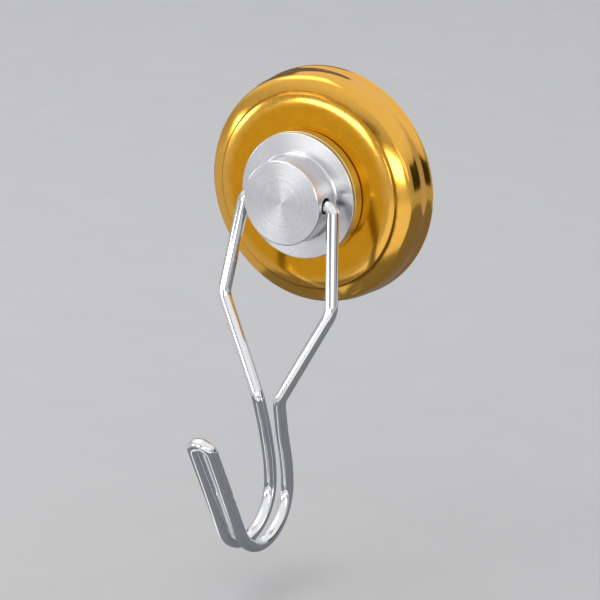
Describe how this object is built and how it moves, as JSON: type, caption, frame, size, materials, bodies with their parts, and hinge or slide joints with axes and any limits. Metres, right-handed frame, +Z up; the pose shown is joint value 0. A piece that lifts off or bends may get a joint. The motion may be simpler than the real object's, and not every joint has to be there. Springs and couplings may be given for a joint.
{
  "type": "magnetic hook",
  "caption": "Round magnet base in a pressed, raised cover, with a turned swivel knob that carries a sprung wire hook on a cross pivot.",
  "frame": {"origin": "centre of the magnet's face, in the plane of the surface that it holds to", "axes": "+Y out of the magnet's face towards that surface, -Y outwards along the swivel axis, +Z up, X along the knob's cross hole"},
  "size_m": [0.0658, 0.0684, 0.1276],
  "materials": {
    "gold_plate": "gold coloured lacquer over bright plated steel, glossy",
    "zinc_steel": "dull zinc plate",
    "ferrite": "sintered ferrite, ground flat",
    "grey_resin": "moulded grey resin",
    "black_rubber": "thin matte rubber sheet",
    "bronze": "sintered bronze bush",
    "nylon": "natural nylon sheet",
    "turned_aluminium": "satin, fine lathe lines",
    "screw_steel": "dark machined steel",
    "washer_steel": "bright zinc plate",
    "spring_steel": "oiled spring steel",
    "chromed_wire": "bright chrome plate on bent wire"
  },
  "bodies": {
    "base": {"cover": "gold_plate", "seat_disc": "gold_plate", "yoke_plate": "zinc_steel", "ring_magnet": "ferrite", "spacer_ring": "grey_resin", "face_pad": "black_rubber", "pivot_bush": "bronze", "thrust_washer": "nylon"},
    "swivel_knob": {"knob": "turned_aluminium", "pivot_screw": "screw_steel", "flat_washer": "washer_steel", "wave_washer": "spring_steel"},
    "hook": {"wire_hook": "chromed_wire"}
  },
  "joints": [
    {"name": "knob_swivel", "type": "hinge", "parent": "base", "child": "swivel_knob", "pos_m": [0, -0.01625, 0], "axis": [0, -1, 0], "continuous": true},
    {"name": "wire_swing", "type": "hinge", "parent": "swivel_knob", "child": "hook", "pos_m": [0, -0.0216, -0.0002], "axis": [-1, 0, 0], "range_deg": [-17, 156]}
  ]
}
